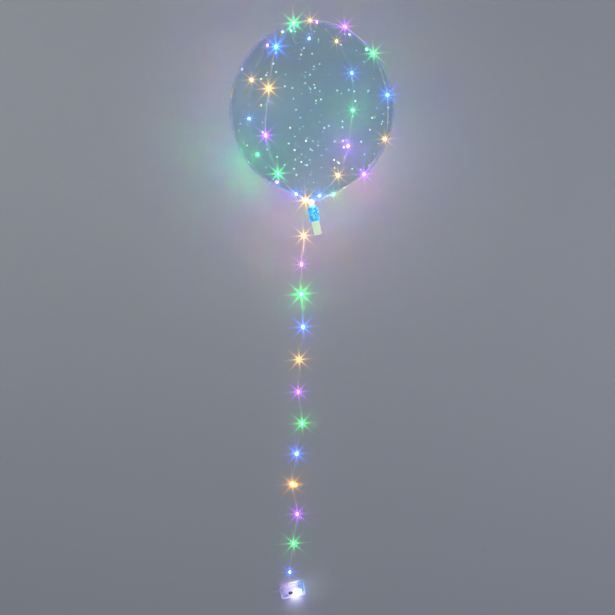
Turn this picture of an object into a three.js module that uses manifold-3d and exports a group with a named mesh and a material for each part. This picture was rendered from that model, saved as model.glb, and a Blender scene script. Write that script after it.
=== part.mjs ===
import * as THREE from "three";
import { mergeVertices } from "three/addons/utils/BufferGeometryUtils.js";
import Module from "manifold-3d";

// A clear bubble balloon lying on its side with its neck a little down, with a string of small
// lights laid over it in two crossing loops and led away over the floor to a clear battery case.
// Millimetres, +Z up. +Y runs from the neck's side to the crown's. The origin is the middle of
// the small flat spot that the balloon rests on.

// Balloon
const ballRadius = 200;
const restingSpotRadius = 30;
const neckDip = 10.5;
const neckReach = 14;
const neckFlareWidth = 44;
const waistRadius = 5;
const waistLength = 7;
const stemRootInset = 0.5;
const stemRadius = 13.5;
const stemEndRadius = 12.2;
const stemLength = 49;
const stemFlatness = 0.36;
const stemFlatReach = 15;
const stemLean = 12;
const stemDroop = 9;
const stripWidth = 19.5;
const stripThickness = 1.2;
const stripCorner = 0.8;
const stripShown = 38;
const stripInside = 4;
const stripPlay = 0.4;

// Light string
const wireDiameter = 1.2;
const beadLength = 6.4;
const beadRadius = 1.9;
const beadPlay = 0.4;
const beadShoulder = 1.2;
const beadMargin = 0.6;
const beadReach = 30;
const crossingReach = 50;
const gatherReach = 30;
const filmGap = 0.3;
const wrapGap = 0.3;
const wrapDrop = 1.2;
const wrapTurns = 3;
const wrapThickness = 2.4;
const lightPitch = 100;
const lightsOnFirstLoop = 13;
const lightsOnSecondLoop = 15;
const tubeStep = 18;
const leadSides = 8;
const loopSides = 6;
const beadSides = 8;
const wrapSides = 16;

// Battery case, which takes two AA cells side by side
const caseLength = 76;
const caseWidth = 40;
const caseWall = 1.8;
const caseCorner = 3;
const trayHeight = 17;
const lidThickness = 1.8;
const lipDepth = 2;
const lipWall = 1.2;
const caseFit = 0.3;
const leastCorner = 0.4;
const caseTurn = 12;
const casePlace = [-58, -1420];
const cellBayLength = 53;
const partitionHeight = 12;
const partitionWall = 1.5;
const leadHolePlace = -6;
const leadHoleHeight = 8.5;
const leadHoleRadius = 1.6;
const recessLength = 15;
const recessWidth = 11;
const recessDepth = 0.8;
const recessPlace = [-7, -4];
const ridgeCount = 4;
const ridgePitch = 2.6;
const ridgeSize = [1.1, 9, 0.7];
const ridgePlace = [-25, -9];
const tabLength = 19;
const tabWidth = 9;
const tabCorner = 2.7;
const tabPlace = 13;
const cellDiameter = 14.5;
const cellHeight = 9.2;
const plateThickness = 0.6;
const plateMargin = 2.7;
const plateHeight = 11.5;
const contactButtonRadius = 3;
const contactButtonTop = 2.4;
const contactButtonHeight = 1;
const contactButtonSides = 12;
const springRadius = 4.2;
const springTipRadius = 3;
const springLength = 8.5;
const springWire = 0.9;
const springTurns = 3.5;
const springStepsPerTurn = 9;
const boardThickness = 1.2;
const boardMargin = 1.7;
const boardCorner = 0.6;
const lampRadius = 2.5;
const lampHeight = 5;
const lampSides = 12;
const lampPlace = -12;

// Roundness of the film: rings close together at the neck, then even steps to the crown
const neckPolars = [0.055, 0.1, 0.15, 0.205, 0.27, 0.34, 0.42];
const ballSteps = 19;
const ballSides = 32;
const stemSides = 18;

// Outline of the stem below its root, as shares of its radius and of its length
const stemShoulders = [[0.96, 0.66], [1, 0.4], [0.86, 0.22], [0.43, 0.08]];

// Routes of the two loops over the film, as azimuth and polar angle in degrees. Azimuth turns
// round the balloon's own axis from its upper side towards +X, polar is counted from the neck.
const wrapPolar = 2.6;
const firstLoopTurns = [
  [-30, wrapPolar], [-31, 21], [-31, 49], [-31.4, 76], [-28.2, 103], [-30.6, 131], [-33, 158],
  [144.7, 176.7], [145, 149], [142.7, 121.5], [145.6, 94], [146, 66], [143.6, 38.5], [145, 11],
  [145, wrapPolar],
];
const secondLoopTurns = [
  [60, wrapPolar], [60, 18.4], [61, 46], [62, 73.4], [58.5, 101], [59, 128.5], [61.5, 154],
  [72, 170], [-155, 175.5], [-165, 163], [-178, 152], [-160, 146], [-130, 160], [-112, 158],
  [-120, 146.3],
  [-123, 117.7], [-125, 89], [-123.5, 60.4], [-120, 31.7], [-121, 5], [-121, wrapPolar],
];
const firstLoopRunIn = 69;
const firstLoopRunOut = 30;
const secondLoopRunIn = 58;
const secondLoopRunOut = 8;

// Route of the free lead: away from the neck, down to the floor and along it to the case
const leadPoints = [
  [-6.6, -215.4, 156.7], [-10.6, -222.9, 154.9], [-13.6, -234.4, 151.1], [-16.5, -259.7, 139.2],
  [-20.5, -302, 109.5], [-24, -341, 81], [-27, -380, 53], [-28.5, -421, 29], [-29, -466, 11.8],
  [-26.5, -521.7, 3], [-23, -571.5, 2.1], [-29, -621, 1.2], [-35, -670.7, 2.1], [-36.5, -720.6, 1.2],
  [-38, -770.6, 2.1], [-32, -820.2, 1.2], [-27, -869.9, 2.1], [-35.5, -919.1, 1.2],
  [-44, -968.4, 2.1], [-50.5, -1017.9, 1.2], [-57, -1067.4, 2.1], [-49.5, -1116.7, 1.2],
  [-42, -1166.2, 2.1], [-48, -1215.7, 1.2], [-54.5, -1265.3, 2.1], [-61, -1314.8, 1.2],
  [-66.6, -1364.5, 2.3], [-68.9, -1382, 5.4], [-68.6, -1398, 8.2], [-66.6, -1408, 8.6],
];

const colours = {
  film: 0xe8f2f6,
  strip: 0xd4e2c4,
  wire: 0xd8c8b4,
  casePlastic: 0xdfe8f2,
  nickel: 0xb9bbbd,
  board: 0x2c5a3c,
  lamp: 0xffffff,
  lights: [0x4c7dff, 0x21d07a, 0xb45cf0, 0xffb640],
};

const wireRadius = wireDiameter / 2;
const wireSeat = filmGap + wireRadius;
const beadRise = beadRadius - wireRadius;
const crossingRise = beadRise + wireDiameter;
const gatherRise = wireDiameter;
const beadSeatLength = beadLength / 2 + beadMargin;
const restHeight = Math.sqrt(ballRadius ** 2 - restingSpotRadius ** 2);
const neckEnd = ballRadius + neckReach;
const flareAngle = neckFlareWidth / ballRadius;

const wasm = await Module();
wasm.setup();

function solidOf(geometry) {
  const bare = geometry.clone();
  bare.deleteAttribute("normal");
  bare.deleteAttribute("uv");
  const merged = mergeVertices(bare, 1e-4);
  return new wasm.Manifold(new wasm.Mesh({
    numProp: 3,
    vertProperties: new Float32Array(merged.attributes.position.array),
    triVerts: new Uint32Array(merged.index.array),
  }));
}

function geometryOf(solid) {
  const mesh = solid.getMesh();
  const geometry = new THREE.BufferGeometry();
  geometry.setAttribute("position", new THREE.BufferAttribute(new Float32Array(mesh.vertProperties), 3));
  geometry.setIndex(new THREE.BufferAttribute(new Uint32Array(mesh.triVerts), 1));
  geometry.computeVertexNormals();
  return geometry;
}

function material(color, roughness, metalness = 0, opacity = 1) {
  return new THREE.MeshStandardMaterial({ color, roughness, metalness, opacity, transparent: opacity < 1 });
}

function piece(name, geometry, look) {
  const mesh = new THREE.Mesh(geometry, look);
  mesh.name = name;
  return mesh;
}

function lathe(profile, segments) {
  return new THREE.LatheGeometry(profile.map(([r, y]) => new THREE.Vector2(r, y)), segments);
}

function slab(shape, depth, lift = 0) {
  const geometry = new THREE.ExtrudeGeometry(shape, { depth, bevelEnabled: false, curveSegments: 3 });
  return geometry.translate(0, 0, lift);
}

function roundedRectangle(length, width, corner) {
  const x = length / 2;
  const y = width / 2;
  const shape = new THREE.Shape();
  shape.moveTo(-x + corner, -y);
  shape.lineTo(x - corner, -y);
  shape.absarc(x - corner, -y + corner, corner, -Math.PI / 2, 0);
  shape.lineTo(x, y - corner);
  shape.absarc(x - corner, y - corner, corner, 0, Math.PI / 2);
  shape.lineTo(-x + corner, y);
  shape.absarc(-x + corner, y - corner, corner, Math.PI / 2, Math.PI);
  shape.lineTo(-x, -y + corner);
  shape.absarc(-x + corner, -y + corner, corner, Math.PI, Math.PI * 1.5);
  return shape;
}

// Balloon film

// Distance from the ball's centre to the film, which is drawn out into a small cone at the neck
function filmRadius(polar) {
  return ballRadius + neckReach * Math.exp(-((polar / flareAngle) ** 2));
}

function ballProfile() {
  const waistPolar = Math.asin(waistRadius / neckEnd);
  const evenFrom = neckPolars.at(-1);
  const polars = [waistPolar, ...neckPolars];
  for (let k = 1; k <= ballSteps; k += 1) {
    polars.push(evenFrom + ((Math.PI - evenFrom) * k) / ballSteps);
  }
  const film = polars.map((polar) => {
    const radius = filmRadius(polar);
    const onAxis = Math.PI - polar < 1e-9;
    return [onAxis ? 0 : radius * Math.sin(polar), -radius * Math.cos(polar)];
  });
  const waistEnd = -neckEnd - waistLength - waistRadius;
  return [[0, waistEnd], [waistRadius, waistEnd], ...film];
}

// The stem hangs from the tied waist: a flattened sleeve of film, open at its end for the strip
function stemSolid() {
  const profile = [
    [0, -stemLength],
    [stemEndRadius, -stemLength],
    ...stemShoulders.map(([radius, down]) => [stemRadius * radius, -stemLength * down]),
    [waistRadius - stemRootInset, 0],
    [0, 0],
  ];
  const geometry = lathe(profile, stemSides);
  const places = geometry.attributes.position;
  for (let k = 0; k < places.count; k += 1) {
    const drop = THREE.MathUtils.smoothstep(-places.getY(k), 0, stemFlatReach);
    places.setZ(k, places.getZ(k) * THREE.MathUtils.lerp(1, stemFlatness, drop));
  }
  const mouth = new THREE.BoxGeometry(
    stripWidth + 2 * stripPlay,
    2 * (stripInside + stripPlay),
    stripThickness + 2 * stripPlay,
  ).translate(0, -stemLength, 0);
  return solidOf(geometry).subtract(solidOf(mouth));
}

const stemFrame = new THREE.Group();
stemFrame.position.set(0, -neckEnd - waistLength, 0);
stemFrame.rotation.set(THREE.MathUtils.degToRad(stemDroop), 0, THREE.MathUtils.degToRad(stemLean));
stemFrame.updateMatrix();

function balloonGeometry() {
  const stem = geometryOf(stemSolid()).applyMatrix4(stemFrame.matrix);
  const below = new THREE.BoxGeometry(4 * ballRadius, 4 * ballRadius, 2 * ballRadius);
  below.translate(0, 0, -restHeight - ballRadius).rotateX(-THREE.MathUtils.degToRad(neckDip));
  const ball = solidOf(lathe(ballProfile(), ballSides));
  return geometryOf(ball.add(solidOf(stem)).subtract(solidOf(below)));
}

function valveStrip() {
  const shape = roundedRectangle(stripWidth, stripShown + stripInside, stripCorner);
  const geometry = slab(shape, stripThickness, -stripThickness / 2);
  return geometry.translate(0, -stemLength - (stripShown - stripInside) / 2, 0);
}

// Light string

function directionOf([azimuth, polar]) {
  const turn = THREE.MathUtils.degToRad(azimuth);
  const tilt = THREE.MathUtils.degToRad(polar);
  return new THREE.Vector3(
    Math.sin(tilt) * Math.sin(turn),
    -Math.cos(tilt),
    Math.sin(tilt) * Math.cos(turn),
  );
}

// The wires stand a little off the film where they gather at the neck
const atNeck = { spot: new THREE.Vector3(0, -neckEnd, 0), rise: gatherRise, reach: gatherReach };

// A wire that lies on the film and is held off it where it passes a bead or another wire
class FilmRoute extends THREE.Curve {
  constructor(turns, rises = []) {
    super();
    this.guide = new THREE.CatmullRomCurve3(turns.map(directionOf));
    this.rises = rises;
    this.arcLengthDivisions = 800;
  }

  getPoint(t, target = new THREE.Vector3()) {
    const direction = this.guide.getPoint(t).normalize();
    const film = filmRadius(Math.acos(THREE.MathUtils.clamp(-direction.y, -1, 1)));
    const place = direction.clone().multiplyScalar(film);
    let lift = 0;
    for (const { spot, rise, reach } of this.rises) {
      const away = Math.min(place.distanceTo(spot) / reach, 1);
      lift += rise * Math.cos((away * Math.PI) / 2) ** 2;
    }
    return target.copy(direction).multiplyScalar(film + wireSeat + lift);
  }
}

// A path of straight steps between stations, each step the same share of it
class SteppedPath extends THREE.Curve {
  constructor(stations) {
    super();
    this.stations = stations;
  }

  getPointAt(u, target = new THREE.Vector3()) {
    const last = this.stations.length - 1;
    const step = Math.min(Math.floor(u * last + 1e-6), last - 1);
    return target.lerpVectors(this.stations[step], this.stations[step + 1], u * last - step);
  }

  getTangentAt(u, target = new THREE.Vector3()) {
    const last = this.stations.length - 1;
    const here = Math.round(u * last);
    const before = this.stations[Math.max(here - 1, 0)];
    const after = this.stations[Math.min(here + 1, last)];
    return target.subVectors(after, before).normalize();
  }
}

function wireTube(stations, sides) {
  const section = new THREE.Shape().absarc(0, 0, wireRadius, 0, 2 * Math.PI);
  return new THREE.ExtrudeGeometry(section, {
    steps: stations.length - 1,
    bevelEnabled: false,
    curveSegments: sides / 2,
    extrudePath: new SteppedPath(stations),
  });
}

// Shares of a route's length where its tube may bend: both ends of each bead, and evenly between
function stationShares(length, beadShares, seat) {
  const edges = [0, ...beadShares.flatMap((share) => [share - seat, share + seat]), 1];
  const shares = [0];
  for (let k = 0; k < edges.length; k += 2) {
    const stretch = edges[k + 1] - edges[k];
    const parts = Math.max(1, Math.round((stretch * length) / tubeStep));
    for (let part = 1; part <= parts; part += 1) {
      shares.push(edges[k] + (stretch * part) / parts);
    }
    if (k + 2 < edges.length) {
      shares.push(edges[k + 2]);
    }
  }
  return shares;
}

// A drop of clear resin round the wire, with a small lamp chip in it
function beadGeometry() {
  const bore = wireRadius + beadPlay;
  const half = beadLength / 2;
  const profile = [
    [bore, -half],
    [beadRadius, -beadShoulder],
    [beadRadius, beadShoulder],
    [bore, half],
    [bore, -half],
  ];
  return lathe(profile, beadSides);
}

const beadMaterials = colours.lights.map((colour) => material(colour, 0.2));

// number counts from the case, and the four colours repeat along the string
function bead(number, place, along) {
  const look = beadMaterials[(number - 1) % beadMaterials.length];
  const mesh = piece(`led_${String(number).padStart(2, "0")}`, beadGeometry(), look);
  mesh.position.copy(place);
  mesh.quaternion.setFromUnitVectors(new THREE.Vector3(0, 1, 0), along);
  return mesh;
}

// A stretch of wire with its beads, which are threaded on straight steps of it
function strungWire(name, route, sides, beadShares, numberAt) {
  const length = route.getLength();
  const seat = beadSeatLength / length;
  const stations = stationShares(length, beadShares, seat).map((share) => route.getPointAt(share));
  const beads = beadShares.map((share, k) => {
    const tail = route.getPointAt(share - seat);
    const head = route.getPointAt(share + seat);
    const along = head.clone().sub(tail).normalize();
    return bead(numberAt(k), head.add(tail).multiplyScalar(0.5), along);
  });
  return [piece(name, wireTube(stations, sides), wireMaterial), ...beads];
}

function loopOnFilm(name, turns, lights, runIn, runOut, strungBefore, crossings) {
  const flat = new FilmRoute(turns);
  const length = flat.getLength();
  const pitch = (length - runIn - runOut) / (lights - 1);
  const shares = Array.from({ length: lights }, (_, k) => (runIn + k * pitch) / length);
  const rises = shares.map((share) => ({
    spot: flat.getPointAt(share),
    rise: beadRise,
    reach: beadReach,
  }));
  const route = new FilmRoute(turns, [...rises, ...crossings, atNeck]);
  return strungWire(name, route, loopSides, shares, (k) => strungBefore + k + 1);
}

// The string is wound a few turns round the waist, where both loops and the lead start
function neckWrap() {
  const inner = waistRadius + wrapGap;
  const outer = inner + wrapThickness;
  const dip = outer - wireRadius;
  const profile = [[inner, 0], [dip, 0]];
  for (let turn = 0; turn < wrapTurns; turn += 1) {
    profile.push([outer, (turn + 0.5) * wireDiameter]);
    profile.push([dip, (turn + 1) * wireDiameter]);
  }
  profile.push([inner, wrapTurns * wireDiameter], [inner, 0]);
  return lathe(profile, wrapSides).translate(0, -neckEnd - wrapDrop - wrapTurns * wireDiameter, 0);
}

const leadRoute = new THREE.CatmullRomCurve3(leadPoints.map((place) => new THREE.Vector3(...place)));
leadRoute.arcLengthDivisions = 1200;
const leadLength = leadRoute.getLength();
const lightsOnLead = Math.floor((leadLength - beadSeatLength) / lightPitch);

function lead() {
  const shares = Array.from({ length: lightsOnLead }, (_, k) => ((k + 1) * lightPitch) / leadLength);
  return strungWire("lead_wire", leadRoute, leadSides, shares, (k) => lightsOnLead - k);
}

const filmMaterial = material(colours.film, 0.05, 0, 0.3);
const stripMaterial = material(colours.strip, 0.5, 0, 0.85);
const wireMaterial = material(colours.wire, 0.35, 0.8);
const caseMaterial = material(colours.casePlastic, 0.15, 0, 0.4);
const nickelMaterial = material(colours.nickel, 0.3, 0.9);
const boardMaterial = material(colours.board, 0.6);
const lampMaterial = material(colours.lamp, 0.2);

const balloonGroup = new THREE.Group();
balloonGroup.position.z = restHeight;
balloonGroup.rotation.x = THREE.MathUtils.degToRad(neckDip);
const crown = new THREE.Vector3(0, ballRadius, 0);
const overFirstLoop = [{ spot: crown, rise: crossingRise, reach: crossingReach }];
const strungBefore = lightsOnLead + lightsOnFirstLoop;
balloonGroup.add(
  piece("balloon", balloonGeometry(), filmMaterial),
  piece("neck_wire_wrap", neckWrap(), wireMaterial),
  ...loopOnFilm(
    "wire_loop_first", firstLoopTurns, lightsOnFirstLoop,
    firstLoopRunIn, firstLoopRunOut, lightsOnLead, [],
  ),
  ...loopOnFilm(
    "wire_loop_second", secondLoopTurns, lightsOnSecondLoop,
    secondLoopRunIn, secondLoopRunOut, strungBefore, overFirstLoop,
  ),
);
stemFrame.add(piece("valve_strip", valveStrip(), stripMaterial));
balloonGroup.add(stemFrame);

// Battery case, in its own frame: x along its length, y across, z up from its underside

const innerLength = caseLength - 2 * caseWall;
const innerWidth = caseWidth - 2 * caseWall;
const innerCorner = Math.max(caseCorner - caseWall, leastCorner);
const partitionX = -innerLength / 2 + cellBayLength + partitionWall / 2;
const lidBottom = trayHeight + caseFit;
const lidTop = lidBottom + lidThickness;
const cellPitch = cellDiameter + (innerWidth - 2 * cellDiameter) / 3;
const plateWidth = innerWidth - 2 * plateMargin;
const boardWidth = innerWidth - 2 * boardMargin;

function trayGeometry() {
  const outer = solidOf(slab(roundedRectangle(caseLength, caseWidth, caseCorner), trayHeight));
  const pocketShape = roundedRectangle(innerLength, innerWidth, innerCorner);
  const pocket = solidOf(slab(pocketShape, trayHeight, caseWall));
  const partition = new THREE.BoxGeometry(partitionWall, caseWidth - caseWall, partitionHeight);
  partition.translate(partitionX, 0, caseWall / 2 + partitionHeight / 2);
  const hole = new THREE.CylinderGeometry(leadHoleRadius, leadHoleRadius, 4 * caseWall, 8);
  hole.translate(leadHolePlace, caseWidth / 2 - caseWall / 2, leadHoleHeight);
  return geometryOf(outer.subtract(pocket).add(solidOf(partition)).subtract(solidOf(hole)));
}

function tabShape() {
  const overlap = caseCorner;
  const shape = new THREE.Shape();
  const end = -caseLength / 2 - tabLength;
  shape.moveTo(-caseLength / 2 + overlap, -tabWidth / 2);
  shape.lineTo(-caseLength / 2 + overlap, tabWidth / 2);
  shape.lineTo(end + tabCorner, tabWidth / 2);
  shape.absarc(end + tabCorner, tabWidth / 2 - tabCorner, tabCorner, Math.PI / 2, Math.PI);
  shape.lineTo(end, -tabWidth / 2 + tabCorner);
  shape.absarc(end + tabCorner, -tabWidth / 2 + tabCorner, tabCorner, Math.PI, Math.PI * 1.5);
  return shape;
}

// The lid drops into the tray by its lip. A thumb recess, grip ridges and a tab help to lift it.
function lidGeometry() {
  const plate = solidOf(slab(roundedRectangle(caseLength, caseWidth, caseCorner), lidThickness, lidBottom));
  const lipLength = innerLength - 2 * caseFit;
  const lipWidth = innerWidth - 2 * caseFit;
  const lipShape = roundedRectangle(lipLength, lipWidth, innerCorner);
  const hollowShape = roundedRectangle(lipLength - 2 * lipWall, lipWidth - 2 * lipWall, innerCorner);
  const lip = solidOf(slab(lipShape, lipDepth + lidThickness / 2, lidBottom - lipDepth));
  const hollow = solidOf(slab(hollowShape, lipDepth + lipDepth, lidBottom - 2 * lipDepth));
  const oval = new THREE.Shape().absellipse(0, 0, recessLength / 2, recessWidth / 2, 0, 2 * Math.PI);
  const recess = new THREE.ExtrudeGeometry(oval, {
    depth: 2 * recessDepth,
    bevelEnabled: false,
    curveSegments: 9,
  }).translate(recessPlace[0], recessPlace[1], lidTop - recessDepth);
  const tab = slab(tabShape(), lidThickness, lidBottom).translate(0, tabPlace, 0);
  let lid = plate.add(lip.subtract(hollow)).add(solidOf(tab)).subtract(solidOf(recess));
  for (let k = 0; k < ridgeCount; k += 1) {
    const ridge = new THREE.BoxGeometry(ridgeSize[0], ridgeSize[1], 2 * ridgeSize[2]);
    ridge.translate(ridgePlace[0] + k * ridgePitch, ridgePlace[1], lidTop);
    lid = lid.add(solidOf(ridge));
  }
  return geometryOf(lid);
}

function contactPlate(withButtons) {
  const plate = new THREE.BoxGeometry(plateThickness, plateWidth, plateHeight);
  plate.translate(0, 0, caseWall + caseFit + plateHeight / 2);
  if (!withButtons) {
    return plate;
  }
  let solid = solidOf(plate);
  for (const side of [-1, 1]) {
    const height = contactButtonHeight + plateThickness / 2;
    const button = lathe(
      [[0, 0], [contactButtonRadius, 0], [contactButtonTop, height], [0, height]],
      contactButtonSides,
    );
    button.rotateZ(Math.PI / 2).translate(0, (side * cellPitch) / 2, cellHeight);
    solid = solid.add(solidOf(button));
  }
  return geometryOf(solid);
}

class Coil extends THREE.Curve {
  getPoint(t, target = new THREE.Vector3()) {
    const turn = 2 * Math.PI * springTurns * t;
    const radius = THREE.MathUtils.lerp(springRadius, springTipRadius, t);
    return target.set(
      springWire / 2 + (springLength - springWire) * t,
      radius * Math.cos(turn),
      radius * Math.sin(turn),
    );
  }
}

function springGeometry() {
  const section = new THREE.Shape().absarc(0, 0, springWire / 2, 0, 2 * Math.PI);
  return new THREE.ExtrudeGeometry(section, {
    steps: Math.round(springTurns * springStepsPerTurn),
    bevelEnabled: false,
    curveSegments: 2,
    extrudePath: new Coil(),
  });
}

function lampGeometry() {
  const straight = lampHeight - lampRadius;
  const dome = [15, 35, 55, 75].map((degrees) => {
    const rise = THREE.MathUtils.degToRad(degrees);
    return [lampRadius * Math.cos(rise), straight + lampRadius * Math.sin(rise)];
  });
  const profile = [[0, 0], [lampRadius, 0], [lampRadius, straight], ...dome, [0, lampHeight]];
  return lathe(profile, lampSides).rotateX(Math.PI / 2);
}

const caseGroup = new THREE.Group();
caseGroup.position.set(casePlace[0], casePlace[1], 0);
caseGroup.rotation.z = THREE.MathUtils.degToRad(caseTurn);

const leftPlateX = -innerLength / 2 + caseFit + plateThickness / 2;
const rightPlateX = partitionX - partitionWall / 2 - caseFit - plateThickness / 2;
const leftPlate = piece("contact_plate_left", contactPlate(false), nickelMaterial);
leftPlate.position.x = leftPlateX;
const rightPlate = piece("contact_plate_right", contactPlate(true), nickelMaterial);
rightPlate.position.x = rightPlateX;
const springs = [["contact_spring_front", -1], ["contact_spring_back", 1]].map(([name, side]) => {
  const spring = piece(name, springGeometry(), nickelMaterial);
  spring.position.set(leftPlateX + plateThickness / 2 + caseFit, (side * cellPitch) / 2, cellHeight);
  return spring;
});

const boardStart = partitionX + partitionWall / 2 + caseFit;
const boardLength = innerLength / 2 - caseFit - boardStart;
const boardX = boardStart + boardLength / 2;
const boardShape = roundedRectangle(boardLength, boardWidth, boardCorner);
const boardBottom = caseWall + caseFit;
const board = piece("circuit_board", slab(boardShape, boardThickness, boardBottom), boardMaterial);
board.position.x = boardX;
const lamp = piece("case_lamp", lampGeometry(), lampMaterial);
lamp.position.set(boardX - boardLength / 4, lampPlace, boardBottom + boardThickness + caseFit);

caseGroup.add(
  piece("case_tray", trayGeometry(), caseMaterial),
  piece("case_lid", lidGeometry(), caseMaterial),
  leftPlate,
  rightPlate,
  ...springs,
  board,
  lamp,
);

const ledOrbBalloon = new THREE.Group();
ledOrbBalloon.add(balloonGroup, ...lead(), caseGroup);

export default ledOrbBalloon;
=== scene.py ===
import random
from math import acos, asin, atan2, cos, exp, hypot, pi, radians, sin, sqrt
from types import SimpleNamespace as Measures

import bmesh
import bpy
from mathutils import Matrix, Vector, noise


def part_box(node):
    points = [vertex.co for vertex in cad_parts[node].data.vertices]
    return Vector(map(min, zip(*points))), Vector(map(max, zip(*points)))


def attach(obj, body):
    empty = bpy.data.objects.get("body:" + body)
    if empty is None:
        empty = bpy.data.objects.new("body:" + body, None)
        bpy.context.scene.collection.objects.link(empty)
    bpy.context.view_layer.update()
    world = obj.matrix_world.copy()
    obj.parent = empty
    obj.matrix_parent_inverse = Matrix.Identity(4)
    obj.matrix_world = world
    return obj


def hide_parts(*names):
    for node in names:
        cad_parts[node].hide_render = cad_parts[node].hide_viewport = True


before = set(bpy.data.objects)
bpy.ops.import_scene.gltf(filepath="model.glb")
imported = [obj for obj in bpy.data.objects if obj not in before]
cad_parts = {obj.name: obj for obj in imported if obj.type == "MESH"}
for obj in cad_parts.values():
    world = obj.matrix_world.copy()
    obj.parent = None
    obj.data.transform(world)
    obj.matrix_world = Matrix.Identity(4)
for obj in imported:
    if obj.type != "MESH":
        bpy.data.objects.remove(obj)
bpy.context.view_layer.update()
mm = 0.001

# The photo is 615 pixels wide and high, and focal is in its pixels
shot = Measures(width=615, focal=545.3, sensor=36.0, place=(-0.0103, -0.2731, 1.5922), tilt=-8.58)

print("camera, light and floor")


def addObject(name, data):
    made = bpy.data.objects.new(name, data)
    bpy.context.scene.collection.objects.link(made)
    return made


def addCamera():
    data = bpy.data.cameras.new("camera")
    data.sensor_width = shot.sensor
    data.lens = shot.focal * shot.sensor / shot.width
    data.clip_start = 0.01
    camera = addObject("camera", data)
    camera.location = shot.place
    camera.rotation_euler = (radians(shot.tilt), 0, 0)
    bpy.context.scene.camera = camera


studio = Measures(
    sky=(0.62, 0.70, 0.86),
    skyStrength=0.23,
    softboxes=[
        ("softboxLeft", (-1.7, 0.5, 1.9), (0, -0.2, 0.1), (1.8, 3.0), 11, (1.0, 0.97, 0.93)),
        ("softboxRight", (1.8, -0.4, 1.7), (0, -0.3, 0.1), (1.6, 2.8), 7.5, (0.86, 0.93, 1.0)),
    ],
    floorSize=40,
    floor=(0.74, 0.745, 0.76),
    floorDrop=0.3,
)


def addLight(name, kind, place, direction, power, colour):
    data = bpy.data.lights.new(name, kind)
    data.energy = power
    data.color = colour
    light = addObject(name, data)
    light.location = place
    light.rotation_euler = Vector(direction).to_track_quat("-Z", "Y").to_euler()
    return data


def addStudio():
    world = bpy.data.worlds.new("studio")
    world.use_nodes = True
    sky = world.node_tree.nodes["Background"]
    sky.inputs["Color"].default_value = (*studio.sky, 1)
    sky.inputs["Strength"].default_value = studio.skyStrength
    bpy.context.scene.world = world
    bpy.context.scene.view_settings.view_transform = "Standard"
    for name, place, target, size, power, colour in studio.softboxes:
        softbox = addLight(name, "AREA", place, Vector(target) - Vector(place), power, colour)
        softbox.shape = "RECTANGLE"
        softbox.size, softbox.size_y = size


addCamera()
addStudio()


# Small helpers for nodes, shared by the materials
def shaderOf(tree):
    return tree.nodes["Principled BSDF"]


def newMaterial(name):
    material = bpy.data.materials.new(name)
    material.use_nodes = True
    return material, material.node_tree, shaderOf(material.node_tree)


def setShader(shader, **values):
    for socket, value in values.items():
        socket = shader.inputs[socket.replace("_", " ")]
        socket.default_value = (*value, 1) if isinstance(value, tuple) else value


def setInputs(node, values):
    for socket, value in values.items():
        node.inputs[socket].default_value = value
    return node


def addNode(tree, kind, operation=None, values={}):
    node = tree.nodes.new(f"ShaderNode{kind}")
    if operation:
        node.operation = operation
    return setInputs(node, values)


# Each row says which output of which node goes to which input
def joinNodes(tree, rows):
    for source, output, target, socket in rows:
        tree.links.new(source.outputs[output], target.inputs[socket])


def addRamp(tree, colours):
    node = addNode(tree, "ValToRGB")
    elements = node.color_ramp.elements
    while len(elements) < len(colours):
        elements.new(0.5)
    for element, (position, colour) in zip(elements, colours):
        element.position = position
        element.color = (*colour, 1)
    return node


def placeGroup(tree, group, **values):
    node = addNode(tree, "Group")
    node.node_tree = group
    return setInputs(node, values)


def newGroup(name, numbers, outputs):
    group = bpy.data.node_groups.new(name, "ShaderNodeTree")
    for socket, value in numbers.items():
        made = group.interface.new_socket(socket, in_out="INPUT", socket_type="NodeSocketFloat")
        made.default_value = value
    for socket, kind in outputs.items():
        group.interface.new_socket(socket, in_out="OUTPUT", socket_type=f"NodeSocket{kind}")
    start = group.nodes.new("NodeGroupInput")
    end = group.nodes.new("NodeGroupOutput")
    return group, start, end


# Fingermarks and fine waves: a roughness and a height that change over the surface
def makeHandling():
    numbers = {"size": 30.0, "smooth": 0.02, "rough": 0.12, "fine": 600.0}
    outputs = {"roughness": "Float", "height": "Float", "mask": "Float"}
    group, start, end = newGroup("handling", numbers, outputs)
    place = addNode(group, "TexCoord")
    broad = addNode(group, "TexNoise", values={"Detail": 4})
    grain = addNode(group, "TexNoise", values={"Detail": 2})
    spread = addNode(group, "MapRange", values={"From Min": 0.35, "From Max": 0.7})
    total = addNode(group, "Math", "MULTIPLY_ADD", {1: 0.25})
    joinNodes(group, [
        (place, "Object", broad, "Vector"),
        (place, "Object", grain, "Vector"),
        (start, "size", broad, "Scale"),
        (start, "fine", grain, "Scale"),
        (broad, "Fac", spread, "Value"),
        (start, "smooth", spread, "To Min"),
        (start, "rough", spread, "To Max"),
        (grain, "Fac", total, 0),
        (broad, "Fac", total, 2),
        (spread, "Result", end, "roughness"),
        (total, "Value", end, "height"),
        (broad, "Fac", end, "mask"),
    ])
    return group


handling = makeHandling()


# Gives a shader the group's roughness and, where they are given, its two colours and a bump
def addHandling(tree, shader, marks, colours=None, bump=None):
    group = placeGroup(tree, handling, **marks)
    joinNodes(tree, [(group, "roughness", shader, "Roughness")])
    if colours:
        ramp = addRamp(tree, list(zip((0.38, 0.66), colours)))
        joinNodes(tree, [(group, "mask", ramp, "Fac"), (ramp, "Color", shader, "Base Color")])
    if bump:
        node = addNode(tree, "Bump", values=dict(zip(("Strength", "Distance"), bump)))
        joinNodes(tree, [(group, "height", node, "Height"), (node, "Normal", shader, "Normal")])


# Colours of the painted glints, which stand in for the lamps' reflections
glintColours = [
    (0, (0.8, 0.88, 1)), (0.5, (0.35, 0.6, 1)), (0.66, (0.3, 1, 0.65)), (0.8, (0.85, 0.5, 1)),
    (0.9, (1, 0.8, 0.45)),
]
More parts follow.
